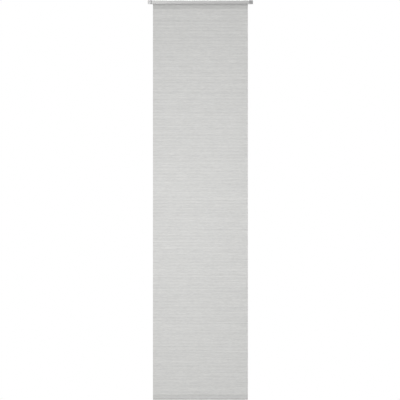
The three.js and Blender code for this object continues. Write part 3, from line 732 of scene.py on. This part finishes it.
# %% [markdown]
# ## Hook tape and loop tape
#
# Each tape is a woven strip with a pile on one side: stiff hooks on the one, soft loops on the other.
# Fur or hair would not survive an export, so one hook and one loop are modelled as bent threads and
# set out on a grid, with a fixed random turn and height for each.

# %% The pile tree
PILE_INPUTS = [
    ("Base", "NodeSocketGeometry", None),
    ("Width", FLOAT, 0.6),
    ("Height", FLOAT, 0.02),
    ("Across", "NodeSocketInt", 240),
    ("Up", "NodeSocketInt", 8),
    ("Root", VECTOR, (0.0, 0.0, 0.0)),
    ("Start", VECTOR, (0.0, 0.0, 0.0)),
    ("Middle", VECTOR, (0.0, 0.0, 0.0)),
    ("End", VECTOR, (0.0, 0.0, 0.0)),
    ("Thread Radius", FLOAT, 0.1 * MM),
    ("Turn", FLOAT, 0.3),
    ("Seed", "NodeSocketInt", 3),
    ("Finish", "NodeSocketMaterial", None),
]
JITTER = 0.35 * MM  # how far a hook or loop may stray from its place on the grid
PILE_SIDES = 4


def pile_tree():
    outputs = [("Pile", "NodeSocketGeometry")]
    tree, given, result = new_group("pile_on_tape", "GeometryNodeTree", PILE_INPUTS, outputs)
    bend = {"Resolution": THREAD_STEPS}
    for label in ("Start", "Middle", "End"):
        bend[label] = given.outputs[label]
    thread = add(tree, "GeometryNodeCurveQuadraticBezier", bend)
    ring = {"Resolution": PILE_SIDES, "Radius": given.outputs["Thread Radius"]}
    section = add(tree, "GeometryNodeCurvePrimitiveCircle", ring)
    tube = {"Curve": thread, "Profile Curve": section, "Fill Caps": True}
    tuft = add(tree, "GeometryNodeCurveToMesh", tube)
    size = {
        "Size X": given.outputs["Width"],
        "Size Y": given.outputs["Height"],
        "Vertices X": given.outputs["Across"],
        "Vertices Y": given.outputs["Up"],
    }
    grid = add(tree, "GeometryNodeMeshGrid", size)
    stood = {"Rotation": (math.pi / 2, 0.0, 0.0), "Translation": given.outputs["Root"]}
    upright = add(tree, "GeometryNodeTransform", {"Geometry": grid, **stood})
    reach = {"Min": (-JITTER, 0.0, -JITTER), "Max": (JITTER, 0.0, JITTER)}
    shake = {**reach, "Seed": given.outputs["Seed"]}
    shake = add(tree, "FunctionNodeRandomValue", shake, data_type="FLOAT_VECTOR")
    shaken = add(tree, "GeometryNodeSetPosition", {"Geometry": upright, "Offset": shake})
    back = maths(tree, "MULTIPLY", given.outputs["Turn"], -1.0)
    swing = {
        "Min": add(tree, "ShaderNodeCombineXYZ", {1: back}),
        "Max": add(tree, "ShaderNodeCombineXYZ", {1: given.outputs["Turn"]}),
        "Seed": given.outputs["Seed"],
    }
    swing = add(tree, "FunctionNodeRandomValue", swing, data_type="FLOAT_VECTOR")
    spread = {"Points": shaken, "Instance": tuft, "Rotation": swing}
    dress(tree, add(tree, "GeometryNodeInstanceOnPoints", spread), given, result)
    return tree


pile_on_tape = pile_tree()
print("tree:", pile_on_tape.name)

# %% Making both tapes
TAPE_ROW_PITCH = 0.9 * MM
TAPE_COLUMN_PITCH = 10 * MM
PILE_PITCH_ACROSS = 2.4 * MM
PILE_PITCH_UP = 2.1 * MM
PILE_EDGE = 1.2 * MM
HOOK = {
    "Start": (0.0, 0.0, 0.0),
    "Middle": (0.0, -1.25 * MM, 0.1 * MM),
    "End": (0.0, -0.3 * MM, -0.7 * MM),
    "Thread Radius": 0.11 * MM,
    "Turn": 0.5,
}
LOOP = {
    "Start": (-0.5 * MM, 0.0, 0.0),
    "Middle": (0.0, 0.95 * MM, 0.2 * MM),
    "End": (0.5 * MM, 0.0, 0.1 * MM),
    "Thread Radius": 0.07 * MM,
    "Turn": 1.5,
}


def pile_tape(node, base_thickness, base_at_back, tuft, tuft_name):
    low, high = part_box(node)
    width, height = high.x - low.x, high.z - low.z
    base_y = high.y - base_thickness / 2 if base_at_back else low.y + base_thickness / 2
    root_y = base_y + (-1 if base_at_back else 1) * base_thickness / 2
    line = [(0.0, base_y, high.z), (0.0, base_y, low.z)]
    strip = grown(
        f"{node}_strip",
        poly_curve(f"{node}_path", [line]),
        weave_along_path,
        {
            "Width": width,
            "Length": height,
            "Rows": round(height / TAPE_ROW_PITCH),
            "Columns": round(width / TAPE_COLUMN_PITCH),
            "Thickness": base_thickness,
            "Slub Height": 0.0,
            "Finish": tape_weave,
        },
    )
    pile = grown(
        f"{node}_{tuft_name}",
        poly_curve(f"{node}_field", [line]),
        pile_on_tape,
        {
            "Width": width - 2 * PILE_EDGE,
            "Height": height - 2 * PILE_EDGE,
            "Across": round(width / PILE_PITCH_ACROSS),
            "Up": round(height / PILE_PITCH_UP),
            "Root": (0.0, root_y, (low.z + high.z) / 2),
            "Finish": nylon_pile,
            **tuft,
        },
    )
    for piece in (strip, pile):
        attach(piece, "panel")
    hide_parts(node)
    return strip, pile


pile_tape("hook_tape", 0.9 * MM, True, HOOK, "hooks")
pile_tape("loop_tape", 0.7 * MM, False, LOOP, "loops")


# %% [markdown]
# ## Dressing the solids
#
# Each hard part already has its true shape, so it isn't modelled again. Its loose triangles are
# copied, merged and dissolved back into whole faces, its sharp edges get a fine bevel that catches
# light as a broken edge does, and its round faces are shaded smooth.

# %% Finished copies of the hard parts
MERGE_DISTANCE = 0.002 * MM
FLAT_ANGLE = 1  # faces that meet at less than this many degrees become one face
BEVEL_ANGLE = 40  # edges that bend more than this many degrees are bevelled
SMOOTH_ANGLE = 35  # and edges that bend less than this are shaded smooth
BEVEL_SEGMENTS = 2


def add_object(name, mesh):
    made = bpy.data.objects.new(name, mesh)
    bpy.context.scene.collection.objects.link(made)
    return made


def settle(made):
    """Turns an object's modifiers into its mesh."""
    bpy.context.view_layer.update()
    mesh = bpy.data.meshes.new_from_object(made.evaluated_get(bpy.context.evaluated_depsgraph_get()))
    made.modifiers.clear()
    made.data = mesh


def rounded(made, bevel):
    """Bevels the sharp edges, then shades the bevels smooth and keeps the flat faces flat."""
    rounding = made.modifiers.new("edges", "BEVEL")
    rounding.width = bevel
    rounding.segments = BEVEL_SEGMENTS
    rounding.limit_method = "ANGLE"
    rounding.angle_limit = math.radians(BEVEL_ANGLE)
    settle(made)
    made.data.shade_smooth()
    made.data.set_sharp_from_angle(angle=math.radians(SMOOTH_ANGLE))
    flattening = made.modifiers.new("flat faces", "WEIGHTED_NORMAL")
    flattening.keep_sharp = True
    settle(made)


def stand_in(made, node, material):
    """Puts a finished piece in a solid's place."""
    made.data.materials.clear()
    made.data.materials.append(material)
    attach(made, frame["nodes"][node]["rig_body"])
    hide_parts(node)


def finished(node, material, bevel):
    shape = bmesh.new()
    shape.from_mesh(frame["nodes"][node].data)
    bmesh.ops.remove_doubles(shape, verts=shape.verts, dist=MERGE_DISTANCE)
    limit = math.radians(FLAT_ANGLE)
    bmesh.ops.dissolve_limit(shape, angle_limit=limit, verts=shape.verts, edges=shape.edges)
    mesh = bpy.data.meshes.new(f"{node}_finished")
    shape.to_mesh(mesh)
    shape.free()
    made = add_object(mesh.name, mesh)
    rounded(made, bevel)
    stand_in(made, node, material)
    return made


HARD_PARTS = [
    ("rail", "rail_aluminium", satin_rail, 0.12 * MM),
    ("carrier", "carrier_aluminium", mill_metal, 0.1 * MM),
    ("weight_bar", "bar_aluminium", mill_metal, 0.1 * MM),
]
for side in ("left", "right"):
    HARD_PARTS += [
        (f"rail_end_cap_{side}", "cap_plastic", silver_cap, 0.08 * MM),
        (f"carrier_end_cap_{side}", "carrier_cap_plastic", grey_moulding, 0.12 * MM),
        (f"bar_cap_{side}", "bar_cap_plastic", grey_moulding, 0.12 * MM),
        (f"truck_{side}", "truck_plastic", white_acetal, 0.12 * MM),
    ]
for node, slot, material, bevel in HARD_PARTS:
    made = finished(node, material, bevel)
    print(made.name, len(made.data.polygons), "faces")


# %% [markdown]
# ## Wheels and axles
#
# The solids of the wheels are turned in few flat faces, and a finer bevel can't make those round. So
# the same profile is turned again in many steps: a hub on a thin disc with a broad rim, and a steel
# pin with a peened head at each end. Both are turned about the axle's own line, measured on the solids.

# %% Turning a profile about a level axis
TURN_STEPS = 48


def turned(name, profile, centre, closed):
    """Turns (radius, place along Y) points about the line through the centre."""
    mesh = bpy.data.meshes.new(name)
    shape = bmesh.new()
    rings = []
    for radius, y in profile:
        if radius == 0.0:
            rings.append([shape.verts.new(centre + Vector((0.0, y, 0.0)))] * TURN_STEPS)
            continue
        ring = []
        for i in range(TURN_STEPS):
            turn = 2 * math.pi * i / TURN_STEPS
            point = Vector((radius * math.cos(turn), y, radius * math.sin(turn)))
            ring.append(shape.verts.new(centre + point))
        rings.append(ring)
    pairs = list(zip(rings, rings[1:] + rings[:1])) if closed else list(zip(rings, rings[1:]))
    for here, there in pairs:
        for i in range(TURN_STEPS):
            after = (i + 1) % TURN_STEPS
            corners = [here[i], here[after], there[after], there[i]]
            shape.faces.new(list(dict.fromkeys(corners)))
    bmesh.ops.recalc_face_normals(shape, faces=shape.faces)
    shape.to_mesh(mesh)
    shape.free()
    return add_object(name, mesh)


# %% Making the wheels and pins
# A solid's box gives its outer sizes. The inner ones can't be measured on it, so they are repeated here.
WHEEL_WIDTH = 4.5 * MM
WHEEL_EDGE = 0.35 * MM
WHEEL_RIM = 1.2 * MM
WHEEL_DISC = 1.3 * MM
HUB_RADIUS = 2.5 * MM
BORE_RADIUS = 1.35 * MM
HUB_PROUD = 0.1 * MM
PIN_RADIUS = 1.25 * MM
HEAD_THICKNESS = 0.6 * MM
# The peened head from its rim to its middle: shares of its radius, and of its thickness below the end.
HEAD_PROFILE = ((1.0, 1.0), (1.0, 0.7), (0.85, 0.2), (0.5, 0.0), (0.0, 0.0))
WHEEL_BEVEL = 0.08 * MM
PIN_BEVEL = 0.06 * MM


def wheel_profile(radius, inner_reach):
    """Points from the bore's inner end, along the truck's side first. Y grows away from the truck."""
    half = WHEEL_WIDTH / 2
    inside = radius - WHEEL_RIM
    disc = WHEEL_DISC / 2
    return [
        (BORE_RADIUS, -inner_reach),
        (HUB_RADIUS, -inner_reach),
        (HUB_RADIUS, -disc),
        (inside, -disc),
        (inside, -half),
        (radius - WHEEL_EDGE, -half),
        (radius, WHEEL_EDGE - half),
        (radius, half - WHEEL_EDGE),
        (radius - WHEEL_EDGE, half),
        (inside, half),
        (inside, disc),
        (HUB_RADIUS, disc),
        (HUB_RADIUS, half + HUB_PROUD),
        (BORE_RADIUS, half + HUB_PROUD),
    ]


def make_wheel(node, facing):
    low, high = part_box(node)
    radius = (high.z - low.z) / 2
    outer = high.y if facing > 0 else low.y
    inner = low.y if facing > 0 else high.y
    middle = outer - facing * (WHEEL_WIDTH / 2 + HUB_PROUD)
    centre = Vector(((low.x + high.x) / 2, middle, (low.z + high.z) / 2))
    reach = abs(middle - inner)
    profile = [(r, facing * y) for r, y in wheel_profile(radius, reach)]
    made = turned(f"{node}_turned", profile, centre, closed=True)
    rounded(made, WHEEL_BEVEL)
    stand_in(made, node, nylon_wheel)


def make_pin(node):
    low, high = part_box(node)
    centre = (low + high) / 2
    end = (high.y - low.y) / 2
    head = (high.z - low.z) / 2
    half = [(PIN_RADIUS, end - HEAD_THICKNESS)]
    half += [(wide * head, end - deep * HEAD_THICKNESS) for wide, deep in HEAD_PROFILE]
    profile = [(r, -y) for r, y in reversed(half)] + half
    made = turned(f"{node}_turned", profile, centre, closed=False)
    rounded(made, PIN_BEVEL)
    stand_in(made, node, zinc_pin)


for side in ("left", "right"):
    for end in ("outer", "inner"):
        make_pin(f"axle_{side}_{end}")
        make_wheel(f"wheel_{side}_{end}_front", -1)
        make_wheel(f"wheel_{side}_{end}_back", 1)
print("turned 8 wheels and 4 pins in", TURN_STEPS, "steps")


# %% [markdown]
# ## The room
#
# The picture was taken square on from far away, against white. The white surroundings give most of the
# light, and also shine through the cloth from behind. Three soft lamps add the rest: one before the
# panel, a little to the left, whose light falls off towards the panel's ends; a small one level with
# the rail on the left, which makes the left cap light and leaves the right one dark; and one overhead,
# which draws a bright line along the rail's rounded top edge.

# %% World
FILL_LIGHT = 0.79  # the strength of the surroundings as a lamp, where 1 is white to the camera


def white_surroundings():
    """White for the camera, for gloss and for clear pieces, and a softer fill for everything else."""
    world = bpy.data.worlds.new("white_studio")
    bpy.context.scene.world = world
    world.use_nodes = True
    tree = world.node_tree
    background = tree.nodes["Background"]
    background.inputs["Color"].default_value = (1.0, 1.0, 1.0, 1.0)
    path = add_node(tree, "ShaderNodeLightPath")
    seen = maths(tree, "MAXIMUM", path.outputs["Is Camera Ray"], path.outputs["Is Glossy Ray"])
    seen = maths(tree, "MAXIMUM", seen, path.outputs["Is Transmission Ray"])
    strength = add(tree, "ShaderNodeMapRange", {"Value": seen, "To Min": FILL_LIGHT, "To Max": 1.0})
    tree.links.new(strength, background.inputs["Strength"])


white_surroundings()
print("world:", bpy.context.scene.world.name)


# %% Floor
FLOOR_BELOW = 80 * MM
FLOOR_REACH = 40.0
SHADOW_NEAR, SHADOW_FAR = 0.35, 0.8  # how far from the panel the floor starts and ends its fade
FLOOR_COLOUR = (0.8, 0.8, 0.79)
FLOOR_ROUGHNESS = 0.7


def pale_floor():
    """A pale floor that keeps the shadow near the panel and fades to the white background."""
    mesh = bpy.data.meshes.new("studio_floor")
    z = cloth_foot - FLOOR_BELOW
    corners = [(x * FLOOR_REACH, y * FLOOR_REACH, z) for x, y in ((-1, -1), (1, -1), (1, 1), (-1, 1))]
    mesh.from_pydata(corners, [], [(0, 1, 2, 3)])
    floor = add_object("studio_floor", mesh)
    material, tree, shader = new_material("pale_floor", FLOOR_COLOUR, FLOOR_ROUGHNESS)
    place = add_node(tree, "ShaderNodeTexCoord").outputs["Object"]
    level = vector_maths(tree, "MULTIPLY", place, (1.0, 1.0, 0.0))
    distance = add_node(tree, "ShaderNodeVectorMath", {0: level}, operation="LENGTH").outputs["Value"]
    reach = {"Value": distance, "From Min": SHADOW_NEAR, "From Max": SHADOW_FAR}
    fade = add(tree, "ShaderNodeMapRange", reach, interpolation_type="SMOOTHSTEP")
    path = add_node(tree, "ShaderNodeLightPath")
    shown = maths(tree, "MAXIMUM", path.outputs["Is Camera Ray"], path.outputs["Is Glossy Ray"])
    shown = maths(tree, "MAXIMUM", shown, path.outputs["Is Transmission Ray"])
    white = add(tree, "ShaderNodeEmission", {"Strength": 1.0})
    faded = {0: maths(tree, "MULTIPLY", fade, shown), 1: shader.outputs[0], 2: white}
    lit = add(tree, "ShaderNodeMixShader", faded)
    from_below = add_node(tree, "ShaderNodeNewGeometry").outputs["Backfacing"]
    clear = add(tree, "ShaderNodeBsdfTransparent")
    whole = add(tree, "ShaderNodeMixShader", {0: from_below, 1: lit, 2: clear})
    tree.links.new(whole, tree.nodes["Material Output"].inputs["Surface"])
    mesh.materials.append(material)


pale_floor()
print("floor", FLOOR_BELOW, "m below the hem")


# %% Lamps
BRIGHTEST_SHARE = 0.535  # how far down its drop the panel is brightest
brightest = cloth_foot * BRIGHTEST_SHARE
LAMPS = {
    "front_lamp": {
        "place": (-0.25, -1.85, brightest),
        "aim": (0.0, 0.0, brightest),
        "size": (0.9, 0.9),
        "watts": 16.5,
    },
    "rail_lamp": {
        "place": (-0.8, -2.6, rail_low.z),
        "aim": (-0.3, 0.0, rail_low.z),
        "size": (0.5, 0.3),
        "watts": 4.5,
    },
    "overhead_lamp": {
        "place": (-0.1, -0.4, 2.0),
        "aim": (0.0, 0.0, 0.0),
        "size": (1.2, 0.6),
        "watts": 14.0,
    },
}


def soft_lamp(name, place, aim, size, watts):
    data = bpy.data.lights.new(name, "AREA")
    data.shape = "RECTANGLE"
    data.size, data.size_y = size
    data.energy = watts
    lamp = bpy.data.objects.new(name, data)
    lamp.location = place
    lamp.rotation_euler = (Vector(aim) - Vector(place)).to_track_quat("-Z", "Y").to_euler()
    bpy.context.scene.collection.objects.link(lamp)


for name, values in LAMPS.items():
    soft_lamp(name, **values)


# %% [markdown]
# ## The camera
#
# The panel looks square on and undistorted, so the camera stands far away with a long lens. Its
# framing follows from the scale of the picture: how many millimetres one pixel covers.

# %% Camera
MM_PER_PIXEL = 6.3165
FRAME_PIXELS = 400
RAIL_CENTRE_PIXEL = 200.4
RAIL_TOP_PIXEL = 0.2
CAMERA_DISTANCE = 14.0
SENSOR_WIDTH = 36.0

camera_data = bpy.data.cameras.new("square_on")
camera_data.sensor_width = SENSOR_WIDTH
camera_data.lens = SENSOR_WIDTH * CAMERA_DISTANCE / (FRAME_PIXELS * MM_PER_PIXEL * MM)
camera = bpy.data.objects.new("square_on", camera_data)
camera.location = (
    (FRAME_PIXELS / 2 - RAIL_CENTRE_PIXEL) * MM_PER_PIXEL * MM,
    rail_low.y - CAMERA_DISTANCE,
    (RAIL_TOP_PIXEL - FRAME_PIXELS / 2) * MM_PER_PIXEL * MM,
)
camera.rotation_euler = (math.pi / 2, 0.0, 0.0)
bpy.context.scene.collection.objects.link(camera)
bpy.context.scene.camera = camera
bpy.context.scene.view_settings.view_transform = "Standard"
print("lens", round(camera_data.lens, 1), "mm at", CAMERA_DISTANCE, "m")
